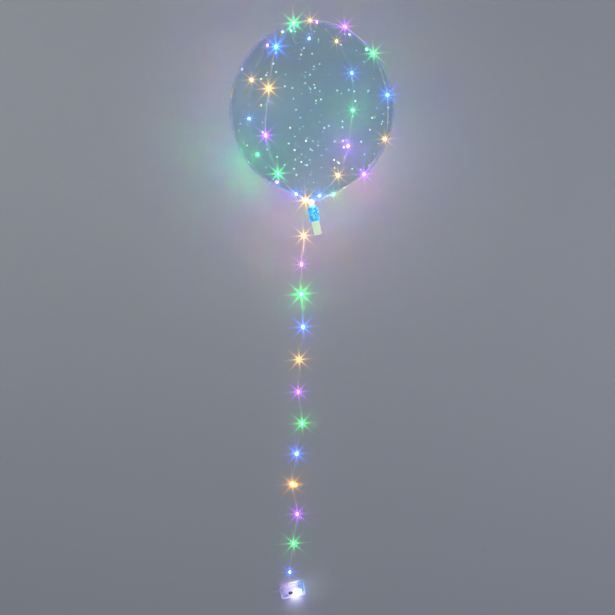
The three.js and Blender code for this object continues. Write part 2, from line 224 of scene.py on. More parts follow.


# Painted reflections of the lamps: small bright points scattered thinly over a surface, each with a colour of
# its own, along a band
def makeGlints(name, axis, middle):
    numbers = {"size": 40.0, "reach": 0.07, "strength": 3.0, "band": 10.0}
    group, start, end = newGroup(name, numbers, {"light": "Color"})
    place = addNode(group, "TexCoord")
    cells = addNode(group, "TexVoronoi")
    inside = addNode(group, "Math", "LESS_THAN")
    across = addNode(group, "SeparateXYZ")
    offset = addNode(group, "Math", "SUBTRACT", {1: middle})
    aside = addNode(group, "Math", "ABSOLUTE")
    within = addNode(group, "MapRange", values={"To Min": 1, "To Max": 0})
    kept = addNode(group, "Math", "MULTIPLY")
    bright = addNode(group, "Math", "MULTIPLY")
    light = addNode(group, "VectorMath", "SCALE")
    split = addNode(group, "SeparateColor")
    tints = addRamp(group, glintColours)
    tints.color_ramp.interpolation = "CONSTANT"
    joinNodes(group, [
        (place, "Object", cells, "Vector"),
        (start, "size", cells, "Scale"),
        (cells, "Distance", inside, 0),
        (start, "reach", inside, 1),
        (place, "Object", across, "Vector"),
        (across, axis, offset, 0),
        (offset, "Value", aside, 0),
        (aside, "Value", within, "Value"),
        (start, "band", within, "From Max"),
        (inside, "Value", kept, 0),
        (within, "Result", kept, 1),
        (kept, "Value", bright, 0),
        (start, "strength", bright, 1),
        (cells, "Color", split, "Color"),
        (split, "Red", tints, "Fac"),
        (tints, "Color", light, 0),
        (bright, "Value", light, "Scale"),
        (light, "Vector", end, "light"),
    ])
    return group


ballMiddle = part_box("balloon")[1].z / 2
# Painted reflections of the lamps: glints over the film, and a band of them along its rim
glints = makeGlints("glints", "X", 0)
rimGlints = makeGlints("rimGlints", "Z", ballMiddle)


# Painted coloured light from a lamp in clear plastic: it fades with the distance, and its colour changes
# across it
def makeGlow(name, place, across, patches, colours):
    group, start, end = newGroup(name, {"strength": 1.0, "reach": 0.1}, {"light": "Color"})
    where = addNode(group, "TexCoord")
    offset = addNode(group, "VectorMath", "SUBTRACT", {1: place})
    away = addNode(group, "VectorMath", "LENGTH")
    side = addNode(group, "VectorMath", "DOT_PRODUCT", {1: across})
    fade = addNode(group, "MapRange", values={"To Min": 1, "To Max": 0})
    fade.interpolation_type = "SMOOTHSTEP"
    bright = addNode(group, "Math", "MULTIPLY")
    uneven = addNode(group, "TexNoise", values={"Scale": patches})
    shifted = addNode(group, "Math", "ADD")
    tints = addRamp(group, colours)
    light = addNode(group, "VectorMath", "SCALE")
    joinNodes(group, [
        (where, "Object", offset, 0),
        (where, "Object", uneven, "Vector"),
        (offset, "Vector", away, 0),
        (offset, "Vector", side, 0),
        (away, "Value", fade, "Value"),
        (start, "reach", fade, "From Max"),
        (fade, "Result", bright, 0),
        (start, "strength", bright, 1),
        (uneven, "Fac", shifted, 0),
        (side, "Value", shifted, 1),
        (shifted, "Value", tints, "Fac"),
        (tints, "Color", light, 0),
        (bright, "Value", light, "Scale"),
        (light, "Vector", end, "light"),
    ])
    return group


neckMiddle = sum(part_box("neck_wire_wrap"), Vector()) / 2
# Painted lamp light near the neck: coloured over the film, and white over the stem
neckLight = makeGlow("neckLight", neckMiddle, (8, 0, 0), 26, [
    (0.3, (0.0, 0.3, 0.2)), (0.5, (0.0, 0.55, 0.25)), (0.64, (0.0, 0.45, 0.6)), (0.8, (0.02, 0.2, 0.9)),
])
neckWhiteLight = makeGlow("neckWhiteLight", neckMiddle, (0, 0, 0), 60, [
    (0.3, (0.8, 1.0, 0.95)), (0.8, (1.0, 0.95, 0.8)),
])


# A colour ramp over a shader's edge-on parts
def edgeRamp(tree, colours):
    edge = addNode(tree, "LayerWeight", values={"Blend": 0.5})
    ramp = addRamp(tree, colours)
    joinNodes(tree, [(edge, "Facing", ramp, "Fac")])
    return ramp


# Adds the first outputs of several nodes together as the colour that the shader gives off
def giveOff(tree, lights):
    total = lights[0]
    for light in lights[1:]:
        added = addNode(tree, "VectorMath", "ADD")
        joinNodes(tree, [(total, 0, added, 0), (light, 0, added, 1)])
        total = added
    shader = shaderOf(tree)
    joinNodes(tree, [(total, 0, shader, "Emission Color")])
    setShader(shader, Emission_Strength=1.0)


# Clear film and plastic throw only a faint shadow, and the lamps behind them still light the floor
def letLampsThrough(tree, shader, shade):
    output = tree.nodes["Material Output"]
    path = addNode(tree, "LightPath")
    clear = addNode(tree, "BsdfTransparent", values={"Color": (*shade, 1)})
    mix = addNode(tree, "MixShader")
    joinNodes(tree, [
        (path, "Is Shadow Ray", mix, "Fac"),
        (shader, "BSDF", mix, 1),
        (clear, "BSDF", mix, 2),
        (mix, "Shader", output, "Surface"),
    ])


# Marks are the handling group's size, smooth, rough and, where it is given, fine
def handledMaterial(name, marks, colours, bump, shade=None, **values):
    material, tree, shader = newMaterial(name)
    setShader(shader, **values)
    addHandling(tree, shader, dict(zip(("size", "smooth", "rough", "fine"), marks)), colours, bump)
    if shade:
        letLampsThrough(tree, shader, shade)
    return material


def clearMaterial(name, look):
    return handledMaterial(
        name, look["marks"], (look["tint"], look["deep"]), (look["wave"], 0.001), look["shade"],
        Transmission_Weight=look["clear"], IOR=look["ior"], Alpha=look["alpha"], Base_Color=look["tint"],
    )


def makeFloor():
    bm = bmesh.new()
    bmesh.ops.create_grid(bm, x_segments=8, y_segments=8, size=studio.floorSize / 2)
    mesh = bpy.data.meshes.new("studioFloor")
    bm.to_mesh(mesh)
    bm.free()
    floor = addObject("studioFloor", mesh)
    floor.location.z = -studio.floorDrop * mm
    material, tree, shader = newMaterial("floorPaint")
    setShader(shader, Base_Color=studio.floor, Roughness=0.55)
    addHandling(tree, shader, {"size": 2.2, "smooth": 0.5, "rough": 0.62, "fine": 300.0})
    mesh.materials.append(material)


makeFloor()


# Finished pieces: one object at the origin for each, riding on the body
def addPiece(name, mesh, materials, nodes, sharp=None):
    piece = addObject(name, mesh)
    for material in materials:
        mesh.materials.append(material)
    mesh.shade_smooth()
    if sharp:
        mesh.set_sharp_from_angle(angle=radians(sharp))
    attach(piece, "root")
    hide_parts(*nodes)
    return piece


# A body of revolution about a line through the origin, from the points of its half outline
def turnedBody(outline, axis, steps, merge):
    bm = bmesh.new()
    verts = [bm.verts.new(place) for place in outline]
    edges = [bm.edges.new(pair) for pair in zip(verts, verts[1:])]
    bmesh.ops.spin(
        bm, geom=verts + edges, cent=(0, 0, 0), axis=axis, angle=2 * pi, steps=steps, use_merge=True,
    )
    bmesh.ops.remove_doubles(bm, verts=bm.verts, dist=merge)
    bmesh.ops.recalc_face_normals(bm, faces=bm.faces)
    return bm


def addBlock(bm, size, middle=(0, 0, 0)):
    bmesh.ops.create_cube(bm, size=1, matrix=Matrix.Translation(middle) @ Matrix.Diagonal((*size, 1)))


def edgesAlong(bm, axis, least):
    return [edge for edge in bm.edges if abs((edge.verts[0].co - edge.verts[1].co)[axis]) > least]


def sharpEdges(bm, angle):
    return [edge for edge in bm.edges if edge.is_manifold and edge.calc_face_angle() > angle]


def soften(bm, edges, offset, segments, **others):
    return bmesh.ops.bevel(
        bm, geom=edges, offset=offset, segments=segments, profile=0.5, affect="EDGES", material=-1, **others,
    )


def opened(mesh):
    bm = bmesh.new()
    bm.from_mesh(mesh)
    return bm


# Gives the second material to the faces that weren't there before
def markNew(bm, before):
    made = [face for face in bm.faces if face not in before]
    for face in made:
        face.material_index = 1
    return made


def meshOf(bm, name, place=None):
    if place is not None:
        bmesh.ops.transform(bm, matrix=place, verts=bm.verts)
    mesh = bpy.data.meshes.new(name)
    bm.to_mesh(mesh)
    bm.free()
    return mesh


# Centripetal spline through chosen points
def throughPoints(points, steps):
    points = [Vector(point) for point in points]
    padded = [2 * points[0] - points[1], *points, 2 * points[-1] - points[-2]]
    line = []
    for a, b, c, d in zip(padded, padded[1:], padded[2:], padded[3:]):
        ab, bc, cd = sqrt((b - a).length), sqrt((c - b).length), sqrt((d - c).length)
        leave = ((b - a) / ab - (c - a) / (ab + bc) + (c - b) / bc) * bc
        arrive = ((c - b) / bc - (d - b) / (bc + cd) + (d - c) / cd) * bc
        for k in range(steps):
            t = k / steps
            line.append(
                b + leave * t + (3 * (c - b) - 2 * leave - arrive) * t ** 2
                + (2 * (b - c) + leave + arrive) * t ** 3
            )
    line.append(points[-1])
    return line


def lengthsAlong(line):
    along = [0.0]
    for a, b in zip(line, line[1:]):
        along.append(along[-1] + (b - a).length)
    return along


def evenly(line, step):
    along = lengthsAlong(line)
    count = max(2, round(along[-1] / step))
    result, k = [], 0
    for n in range(count + 1):
        want = along[-1] * n / count
        while k < len(line) - 2 and along[k + 1] < want:
            k += 1
        share = (want - along[k]) / max(along[k + 1] - along[k], 1e-12)
        result.append(line[k].lerp(line[k + 1], min(max(share, 0), 1)))
    return result


def smoothShare(value):
    value = min(max(value, 0.0), 1.0)
    return value * value * (3 - 2 * value)


# Round wire along one or more lines, as a mesh
def wireMesh(name, lines, radius, resolution=1):
    curve = bpy.data.curves.new(name, "CURVE")
    curve.dimensions = "3D"
    curve.bevel_depth = radius
    curve.bevel_resolution = resolution
    curve.use_fill_caps = True
    for line in lines:
        spline = curve.splines.new("POLY")
        spline.points.add(len(line) - 1)
        for point, place in zip(spline.points, line):
            point.co = (*place, 1)
    holder = bpy.data.objects.new(name, curve)
    mesh = bpy.data.meshes.new_from_object(holder)
    bpy.data.objects.remove(holder)
    bpy.data.curves.remove(curve)
    bm = opened(mesh)
    bpy.data.meshes.remove(mesh)
    bmesh.ops.remove_doubles(bm, verts=bm.verts, dist=1e-7)
    bmesh.ops.recalc_face_normals(bm, faces=bm.faces)
    return meshOf(bm, name)


film = Measures(
    restingSpot=30, neckDip=10.5, wall=0.35, neckReach=14, neckFlare=44, waistRadius=5, waistLength=7,
    stemLength=49, stemRadius=13.5, stemFlatness=0.36, stemFlatReach=15, stemLean=12, stemDroop=9,
    mouthFrom=0.84, mouthFlat=0.56, wrinkle=1.1, pleats=23, pleatDepth=1.5, pleatReach=radians(27),
    sides=184, ballRings=84, neckRings=30, waistRings=4, stemSteps=9, neckPolar=0.42,
    creaseAcross=150, creaseDown=90, creaseSlant=45, creaseRound=1.7, rippleScale=2.3,
    creaseShare=0.7, creasePower=5, creaseLevel=0.4, rippleShare=0.45, wrinkleFrom=0.15, mouthSmooth=0.55,
    pleatFade=0.7, pleatMost=0.3, pleatPower=1.5, uneven=(0.22, 0.09), wander=0.35,
)
# The ball's own frame: its centre over the resting spot, and its axis dipping to the neck along -Y
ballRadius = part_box("balloon")[1].x
ballFrame = (
    Matrix.Translation((0, 0, sqrt(ballRadius ** 2 - (film.restingSpot * mm) ** 2)))
    @ Matrix.Rotation(radians(film.neckDip), 4, "X")
)
centre = ballFrame.translation

# Radius and place down the stem, as shares of its widest radius and of its length
stemOutline = [(0.37, 0), (0.43, 0.08), (0.86, 0.22), (1, 0.4), (0.96, 0.66), (0.93, 0.86), (0.86, 1)]


def filmRadius(polar):
    flare = film.neckFlare * mm / ballRadius
    return ballRadius + film.neckReach * mm * exp(-((polar / flare) ** 2))


neckEnd = ballRadius + film.neckReach * mm
stemTop = neckEnd + film.waistLength * mm
stemFrame = (
    ballFrame
    @ Matrix.Translation((0, -stemTop, 0))
    @ Matrix.Rotation(radians(film.stemDroop), 4, "X")
    @ Matrix.Rotation(radians(film.stemLean), 4, "Z")
)


# Half outline of the film, from the crown to the stem's open mouth, as (radius, place along the axis, 0)
def filmOutline():
    waistPolar = asin(film.waistRadius * mm / neckEnd)
    polars = [pi + (film.neckPolar - pi) * k / film.ballRings for k in range(film.ballRings)]
    for k in range(film.neckRings + 1):
        share = k / film.neckRings
        polars.append(film.neckPolar + (waistPolar - film.neckPolar) * share)
    outline = []
    for polar in polars:
        radius = filmRadius(polar)
        outline.append((radius * sin(polar), -radius * cos(polar), 0))
    outline[0] = (0, ballRadius, 0)
    for k in range(1, film.waistRings + 1):
        outline.append((film.waistRadius * mm, -neckEnd - film.waistLength * mm * k / film.waistRings, 0))
    stem = []
    for radius, down in stemOutline:
        stem.append((radius * film.stemRadius * mm, down * film.stemLength * mm, 0))
    for point in throughPoints(stem, film.stemSteps)[1:]:
        outline.append((point.x, -stemTop - point.y, 0))
    return outline


def pleated(place, angle):
    distance = place.length
    polar = acos(min(max(-place.y / distance, -1), 1))
    window = smoothShare((film.pleatReach - polar) / (film.pleatFade * film.pleatReach))
    if window == 0:
        return place
    count = film.pleats
    pitch = 2 * pi * hypot(place.x, place.z) / count
    depth = min(film.pleatDepth * mm, film.pleatMost * pitch) * window
    uneven = angle + film.uneven[0] * sin(2 * angle + 1) + film.uneven[1] * sin(5 * angle)
    fold = (0.5 - 0.5 * cos(count * uneven)) ** film.pleatPower
    wander = 1 - film.wander * (1 - sin(3 * angle + 2))
    return place * (1 - depth * fold * wander / distance)


def crumpled(place, angle, down):
    share = down / (film.stemLength * mm)
    flat = 1 + (film.stemFlatness - 1) * smoothShare(down / (film.stemFlatReach * mm))
    mouth = smoothShare((share - film.mouthFrom) / (1 - film.mouthFrom))
    flat *= 1 + (film.mouthFlat - 1) * mouth
    local = Vector((place.x, -down, place.z * flat))
    outwards = Vector((sin(angle) * flat, 0, cos(angle))).normalized()
    window = smoothShare(share / film.wrinkleFrom) * (1 - film.mouthSmooth * mouth)
    slanted = local.y * film.creaseDown + local.x * film.creaseSlant
    sample = Vector((local.x * film.creaseAcross, slanted, cos(angle) * film.creaseRound))
    crease = (1 - abs(noise.noise(sample))) ** film.creasePower - film.creaseLevel
    ripple = noise.noise(sample * film.rippleScale + Vector((7, 3, 1)))
    wrinkle = film.creaseShare * crease + film.rippleShare * ripple
    return local + outwards * film.wrinkle * mm * window * wrinkle


def makeFilm():
    bm = turnedBody(filmOutline(), (0, 1, 0), film.sides, 1e-6)
    widest = max(bm.faces, key=lambda face: face.calc_center_median().x)
    if widest.normal.x < 0:
        bmesh.ops.reverse_faces(bm, faces=bm.faces)
    for face in bm.faces:
        if -face.calc_center_median().y > neckEnd:
            face.material_index = 1
    for vert in bm.verts:
        angle = atan2(vert.co.x, vert.co.z)
        down = -vert.co.y - stemTop
        if down > 0:
            vert.co = stemFrame @ crumpled(vert.co, angle, down)
        else:
            vert.co = ballFrame @ pleated(vert.co, angle)
        vert.co.z = max(vert.co.z, 0)
    bmesh.ops.solidify(bm, geom=bm.faces[:], thickness=film.wall * mm)
    return meshOf(bm, "balloonFilm")


filmLook = {
    "clear": 0.965, "alpha": 0.35, "ior": 1.005, "tint": (0.93, 0.985, 0.99), "deep": (0.86, 0.96, 0.975),
    "marks": (9.0, 0.0, 0.012), "wave": 0.01, "shade": (0.93, 0.96, 0.965),
}
filmRim = [
    (0.0, (0.58, 0.86, 0.9)), (0.6, (0.5, 0.8, 0.87)), (0.84, (0.3, 0.55, 0.75)), (1.0, (0.4, 0.55, 0.9)),
]
stemLook = {
    "clear": 0.55, "alpha": 1.0, "ior": 1.45, "tint": (0.06, 0.5, 0.8), "deep": (0.4, 0.86, 0.96),
    "marks": (170.0, 0.05, 0.25), "wave": 0.5, "shade": (0.6, 0.85, 0.94),
}
# Painted highlight: a pale line given off along the film's edge
filmEdgeLight = [(0.72, (0, 0, 0)), (0.88, (0.08, 0.09, 0.16)), (1.0, (0.5, 0.55, 0.9))]
# Painted highlights on the stem's edges and creases
stemEdgeLight = [(0.5, (0, 0, 0)), (0.8, (0.2, 0.32, 0.36)), (1.0, (0.4, 0.55, 0.6))]
stemCreaseLight = [(0.42, (0.0, 0.01, 0.06)), (0.54, (0.0, 0.08, 0.2)), (0.66, (0.2, 0.65, 0.8))]


# The film looks deeper towards its edge, with a painted pale highlight line there, painted glints for the
# lamps' reflections all over, and painted lamp light near the neck
def dressFilm(material):
    tree = material.node_tree
    shader = shaderOf(tree)
    joinNodes(tree, [(edgeRamp(tree, filmRim), "Color", shader, "Base Color")])
    setShader(
        shader, Sheen_Weight=1.0, Sheen_Roughness=0.3, Sheen_Tint=(0.74, 0.78, 1.0),
        Coat_Weight=1.0, Coat_IOR=1.5, Coat_Roughness=0.01,
    )
    # Painted reflections of the lamps: scattered glints, a trail of them down the middle, and a band along
    # the rim
    spots = placeGroup(tree, glints, size=46.0, reach=0.07, strength=5.0)
    trail = placeGroup(tree, glints, size=80.0, reach=0.09, strength=4.5, band=0.045)
    # Painted green and blue lamp light on the film near the neck
    nearNeck = placeGroup(tree, neckLight, strength=0.36, reach=0.12)
    rim = placeGroup(tree, rimGlints, size=36.0, reach=0.14, strength=16.0, band=0.024)
    giveOff(tree, [spots, trail, rim, nearNeck, edgeRamp(tree, filmEdgeLight)])


# The gathered film of the stem carries painted lamp light in bright creases and edges, and a painted white
# glow near the neck
def dressStem(material):
    tree = material.node_tree
    shader = shaderOf(tree)
    setShader(shader, Sheen_Weight=0.6, Sheen_Roughness=0.3, Coat_Weight=0.5)
    place = addNode(tree, "TexCoord")
    creases = addNode(tree, "TexNoise", values={"Scale": 150, "Distortion": 1.2})
    creaseLight = addRamp(tree, stemCreaseLight)
    joinNodes(tree, [(place, "Object", creases, "Vector"), (creases, "Fac", creaseLight, "Fac")])
    white = placeGroup(tree, neckWhiteLight, strength=0.9, reach=0.02)
    giveOff(tree, [creaseLight, white, edgeRamp(tree, stemEdgeLight)])


print("film")
filmMaterial = clearMaterial("clearFilm", filmLook)
dressFilm(filmMaterial)
stemMaterial = clearMaterial("gatheredFilm", stemLook)
dressStem(stemMaterial)
addPiece("balloonFilm", makeFilm(), [filmMaterial, stemMaterial], ["balloon"])


strip = Measures(
    width=19.5, thickness=1.1, shown=38, inside=4, corner=0.8, weld=1.8,
    weldHeight=0.16, soft=0.1, ripple=0.12, rippleDown=0.45, rippleAcross=0.2, steps=24,
    milk=(0.9, 0.97, 0.8), milkDeep=(0.78, 0.93, 0.66), clear=0.15,
)


def makeStrip():
    length = strip.shown + strip.inside
    bm = bmesh.new()
    addBlock(bm, (strip.width, length, strip.thickness))
    soften(bm, edgesAlong(bm, 2, strip.thickness / 2), strip.corner, 4)
    for face in [face for face in bm.faces if abs(face.normal.z) > 0.9]:
        bmesh.ops.inset_region(bm, faces=[face], thickness=strip.weld, depth=-strip.weldHeight)
    longEdges = edgesAlong(bm, 1, length / 2)
    bmesh.ops.subdivide_edges(bm, edges=longEdges, cuts=strip.steps, use_grid_fill=True)
    soften(bm, sharpEdges(bm, 0.6), strip.soft, 2)
    for vert in bm.verts:
        wave = sin(vert.co.y * strip.rippleDown) * cos(vert.co.x * strip.rippleAcross)
        vert.co.z += strip.ripple * wave
    middle = strip.width / 2 - strip.weld, length / 2 - strip.weld
    for face in bm.faces:
        spot = face.calc_center_median()
        if abs(spot.x) > middle[0] or abs(spot.y) > middle[1]:
            face.material_index = 1
    for vert in bm.verts:
        vert.co.y -= film.stemLength + (strip.shown - strip.inside) / 2
    bmesh.ops.scale(bm, vec=(mm, mm, mm), verts=bm.verts)
    return meshOf(bm, "valveStrip", stemFrame)


# Both strip materials give off a faint painted glow in their own tints, paler on the welded border
def stripMaterial(name, milk, milkDeep, light):
    return handledMaterial(
        name, (160.0, 0.28, 0.5, 2500.0), (milk, milkDeep), (0.25, 0.0004), (0.55, 0.65, 0.5),
        Transmission_Weight=strip.clear, IOR=1.45, Emission_Color=light, Emission_Strength=0.32,
    )


print("valve strip")
stripMaterials = [
    stripMaterial("milkyStrip", strip.milk, strip.milkDeep, (0.6, 0.95, 0.5)),
    stripMaterial("stripWeld", (0.97, 1.0, 0.93), (0.92, 0.98, 0.86), (0.95, 1.0, 0.85)),
]
addPiece("valveStrip", makeStrip(), stripMaterials, ["valve_strip"], sharp=40)


# The string: a pair of fine strands with a bead on them every 100 mm
string = Measures(
    wire=1.2, strand=0.6, tight=0.34, besideChip=0.55, besideReach=7, partedLeast=0.3, partedMost=3.2,
    leadPartedMost=0.75, filmGap=0.3, drop=0.42, beadReach=30, crossingReach=50, gatherReach=30,
    step=2.5, onLead=12, onFirstLoop=13,
    lean=(0.7, 1.5), bulge=1.4, waver=0.2, waverPace=0.11,
)
bead = Measures(
    length=6.4, radius=1.9, rings=12, sides=20, chip=(1.2, 1.6, 1.1), chipSoft=0.12,
    uneven=0.07, lump=0.06, blunt=2.4, swell=0.6, seed=50,
)
wrapPolar = 2.6
firstLoopTurns = [
    (-30, wrapPolar), (-31, 21), (-31, 49), (-31.4, 76), (-28.2, 103), (-30.6, 131), (-33, 158),
    (144.7, 176.7), (145, 149), (142.7, 121.5), (145.6, 94), (146, 66), (143.6, 38.5), (145, 11),
    (145, wrapPolar),
]
secondLoopTurns = [
    (60, wrapPolar), (60, 18.4), (61, 46), (62, 73.4), (58.5, 101), (59, 128.5), (61.5, 154),
    (72, 170), (-155, 175.5), (-165, 163), (-178, 152), (-160, 146), (-130, 160), (-112, 158),
    (-120, 146.3), (-123, 117.7), (-125, 89), (-123.5, 60.4), (-120, 31.7), (-121, 5), (-121, wrapPolar),
]
leadPoints = [
    (-6.6, -215.4, 156.7), (-10.6, -222.9, 154.9), (-13.6, -234.4, 151.1), (-16.5, -259.7, 139.2),
    (-20.5, -302, 109.5), (-24, -341, 81), (-27, -380, 53), (-28.5, -421, 29), (-29, -466, 11.8),
    (-26.5, -521.7, 3), (-23, -571.5, 2.1), (-29, -621, 1.2), (-35, -670.7, 2.1), (-36.5, -720.6, 1.2),
    (-38, -770.6, 2.1), (-32, -820.2, 1.2), (-27, -869.9, 2.1), (-35.5, -919.1, 1.2),
    (-44, -968.4, 2.1), (-50.5, -1017.9, 1.2), (-57, -1067.4, 2.1), (-49.5, -1116.7, 1.2),
    (-42, -1166.2, 2.1), (-48, -1215.7, 1.2), (-54.5, -1265.3, 2.1), (-61, -1314.8, 1.2),
    (-66.6, -1364.5, 2.3), (-68.9, -1382, 5.4), (-68.6, -1398, 8.2), (-66.6, -1408, 8.6),
]

lightNodes = sorted(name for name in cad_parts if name.startswith("led_"))
lightPlaces = {node: sum(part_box(node), Vector()) / 2 for node in lightNodes}
secondFrom = string.onLead + string.onFirstLoop
leadLights = lightNodes[:string.onLead][::-1]
firstLights = lightNodes[string.onLead:secondFrom]
secondLights = lightNodes[secondFrom:]


def directionOf(azimuth, polar):
    turn, tilt = radians(azimuth), radians(polar)
    return Vector((sin(tilt) * sin(turn), -cos(tilt), sin(tilt) * cos(turn)))


# A wire on the film, held off it where it passes a bead or the other wire, or gathers at the neck
def loopLine(turns, lights, crossings):
    wireRadius = string.wire * mm / 2
    beadRise = bead.radius * mm - wireRadius
    rises = [(0.0, -neckEnd, 0.0, string.wire * mm, string.gatherReach * mm)]
    for node in lights:
        direction = (ballFrame.inverted() @ lightPlaces[node]).normalized()
        spot = direction * filmRadius(acos(-direction.y))
        rises.append((*spot, beadRise, string.beadReach * mm))
    for spot in crossings:
        rises.append((*spot, beadRise + string.wire * mm, string.crossingReach * mm))
    line = []
    for direction in throughPoints([directionOf(*turn) for turn in turns], 40):
        direction.normalize()
        reach = filmRadius(acos(min(max(-direction.y, -1), 1)))
        place = direction * reach
        lift = 0
        for x, y, z, rise, within in rises:
            away = min((place - Vector((x, y, z))).length / within, 1)
            lift += rise * cos(away * pi / 2) ** 2
        line.append(ballFrame @ (direction * (reach + string.filmGap * mm + wireRadius + lift)))
    return evenly(line, string.step * mm)


def nearestOn(line, place):
    return min(range(len(line)), key=lambda k: (line[k] - place).length)


# Two strands side by side that part a little between the beads
def strandLines(line, lights, outwardAt, partedMost, drop, seed):
    shuffled = random.Random(seed)
    stops = [0, *(nearestOn(line, lightPlaces[node]) for node in lights), len(line) - 1]
    parted = [0.0] * len(line)
    for a, b in zip(stops, stops[1:]):
        wide = shuffled.uniform(string.partedLeast, partedMost) * mm
        lean = shuffled.uniform(*string.lean)
        for k in range(a, b + 1):
            share = (k - a) / max(b - a, 1)
            parted[k] = wide * sin(pi * share ** lean) ** string.bulge
    strands = [[], []]
    for k, place in enumerate(line):
        along = (line[min(k + 1, len(line) - 1)] - line[max(k - 1, 0)]).normalized()
        outward = outwardAt(place)
        side = along.cross(outward).normalized()
        waver = noise.noise(Vector((k * string.waverPace, seed, 0))) * string.waver * mm
        away = min((place - lightPlaces[node]).length for node in lights) / (string.besideReach * mm)
        beside = string.besideChip * mm * max(0, 1 - away)
        half = string.tight * mm + max(parted[k], beside)
        base = place - outward * drop * mm + side * waver
        strands[0].append(base + side * half)
        strands[1].append(base - side * half)
    return strands


# The wire gives off a painted glow, as though lit by the lamps
def wireMaterial(name, light, strength):
    return handledMaterial(
        name, (60.0, 0.16, 0.34, 1500.0), ((0.97, 0.96, 0.94), (0.9, 0.87, 0.83)), (0.1, 0.0002),
        Metallic=0.3, Coat_Weight=0.6, Coat_Roughness=0.08, Emission_Color=light, Emission_Strength=strength,
    )


lightColours = {
    "blue": {"glow": (0.05, 0.14, 1.0), "core": (0.10, 0.20, 1.0), "resin": (0.72, 0.8, 1.0), "power": 1.5},
    "green": {"glow": (0.0, 0.9, 0.16), "core": (0.03, 1.0, 0.12), "resin": (0.7, 1.0, 0.82), "power": 0.8},
    "purple": {"glow": (0.5, 0.06, 0.9), "core": (0.55, 0.12, 1.0), "resin": (0.92, 0.8, 1.0), "power": 1.2},
    "amber": {"glow": (1.0, 0.42, 0.02), "core": (1.0, 0.48, 0.04), "resin": (1.0, 0.92, 0.75), "power": 0.8},
}
glow = {"resin": 9, "chip": 3000}

# How strongly each lamp shines, 1 to 40 from the case: the drops throw their light unevenly
lit = [
    0.3, 1.2, 0.9, 1.0, 1.1, 1.4, 0.8, 1.1, 1.3, 2.5, 0.5, 1.0,
    0.3, 0.7, 0.5, 0.6, 0.8, 0.5, 0.2, 1.2, 1.6, 2.8, 7.0, 3.2, 1.2,
    0.45, 0.6, 0.5, 0.7, 0.9, 0.6, 0.4, 0.8, 0.8, 0.8, 2.4, 2.6, 5.5, 1.2, 2.4,
]


def shareOfLight(material, strength):
    tree = material.node_tree
    share = addNode(tree, "Attribute")
    share.attribute_name = "lit"
    total = addNode(tree, "Math", "MULTIPLY", {1: strength})
    joinNodes(tree, [(share, "Fac", total, 0), (total, "Value", shaderOf(tree), "Emission Strength")])


def resinMaterial(name, look):
    material = handledMaterial(
        f"{name}Resin", (500.0, 0.03, 0.12, 3000.0), None, (0.15, 0.0003), look["resin"],
        Base_Color=look["resin"], Transmission_Weight=0.9, IOR=1.5, Emission_Color=look["glow"],
    )
    shareOfLight(material, glow["resin"] * look["power"])
    return material


def chipMaterial(name, look):
    material, tree, shader = newMaterial(f"{name}Chip")
    setShader(shader, Base_Color=(0.9, 0.9, 0.7), Roughness=0.4, Emission_Color=look["core"])
    shareOfLight(material, glow["chip"] * look["power"])
    return material


lightMaterials = [[resinMaterial(*item), chipMaterial(*item)] for item in lightColours.items()]


def setLit(mesh, share):
    values = mesh.attributes.new("lit", "FLOAT", "POINT")
    for value in values.data:
        value.value = share


def makeBead(node, along, seed):
    shuffled = random.Random(seed)
    half = bead.length / 2 * (1 + shuffled.uniform(-bead.uneven, 0))
    radius = bead.radius * (1 + shuffled.uniform(-bead.uneven, 0))
    outline = []
    for k in range(bead.rings + 1):
        share = 2 * k / bead.rings - 1
        height = sin(share * pi / 2)
        width = (1 - abs(height) ** bead.blunt) ** bead.swell
        outline.append((radius * width, half * height, 0))
    bm = turnedBody(outline, (0, 1, 0), bead.sides, 1e-4)
    lump = shuffled.uniform(0, 2 * pi)
    for vert in bm.verts:
        angle = atan2(vert.co.x, vert.co.z)
        narrowed = 1 - bead.lump * (1 + cos(angle - lump)) / 2
        vert.co.x *= narrowed
        vert.co.z *= narrowed
    outer = set(bm.faces)
    addBlock(bm, bead.chip)
    rims = list(dict.fromkeys(edge for face in markNew(bm, outer) for edge in face.edges))
    soften(bm, rims, bead.chipSoft, 2)
    bmesh.ops.scale(bm, vec=(mm, mm, mm), verts=bm.verts)
    turn = Vector((0, 1, 0)).rotation_difference(along).to_matrix().to_4x4()
    roll = Matrix.Rotation(shuffled.uniform(0, 2 * pi), 4, "Y")
    return meshOf(bm, node, Matrix.Translation(lightPlaces[node]) @ turn @ roll)


def addBeads(lights, line):
    pieces = []
    for node in lights:
        number = int(node.split("_")[1])
        nearest = nearestOn(line, lightPlaces[node])
        along = (line[nearest + 1] - line[nearest - 1]).normalized()
        colour = (number - 1) % len(lightMaterials)
        mesh = makeBead(node, along, number + bead.seed)
        setLit(mesh, lit[number - 1])
        pieces.append(addPiece(f"lightDrop{number:02d}", mesh, lightMaterials[colour], [node]))
    return pieces


def outwardFromBall(place):
    return (place - centre).normalized()


print("light string")
# Painted glow: faint on the loops' strands and the lead, strong and warm on the neck winding
strandWire = wireMaterial("lacqueredWire", (0.9, 0.94, 1.0), 0.2)
leadWireLook = wireMaterial("leadLacquer", (0.9, 0.94, 1.0), 0.13)
windingWire = wireMaterial("litWinding", (1.0, 0.95, 0.72), 1.6)
strandRadius = string.strand * mm / 2
crown = Vector((0, ballRadius, 0))
loops = [
    ("wireLoopFirst", "wire_loop_first", firstLoopTurns, firstLights, [], 3),
    ("wireLoopSecond", "wire_loop_second", secondLoopTurns, secondLights, [crown], 5),
]
for name, node, turns, lights, crossings, seed in loops:
    line = loopLine(turns, lights, crossings)
    strands = strandLines(line, lights, outwardFromBall, string.partedMost, string.drop, seed)
    addPiece(name, wireMesh(name, strands, strandRadius), [strandWire], [node])
    addBeads(lights, line)

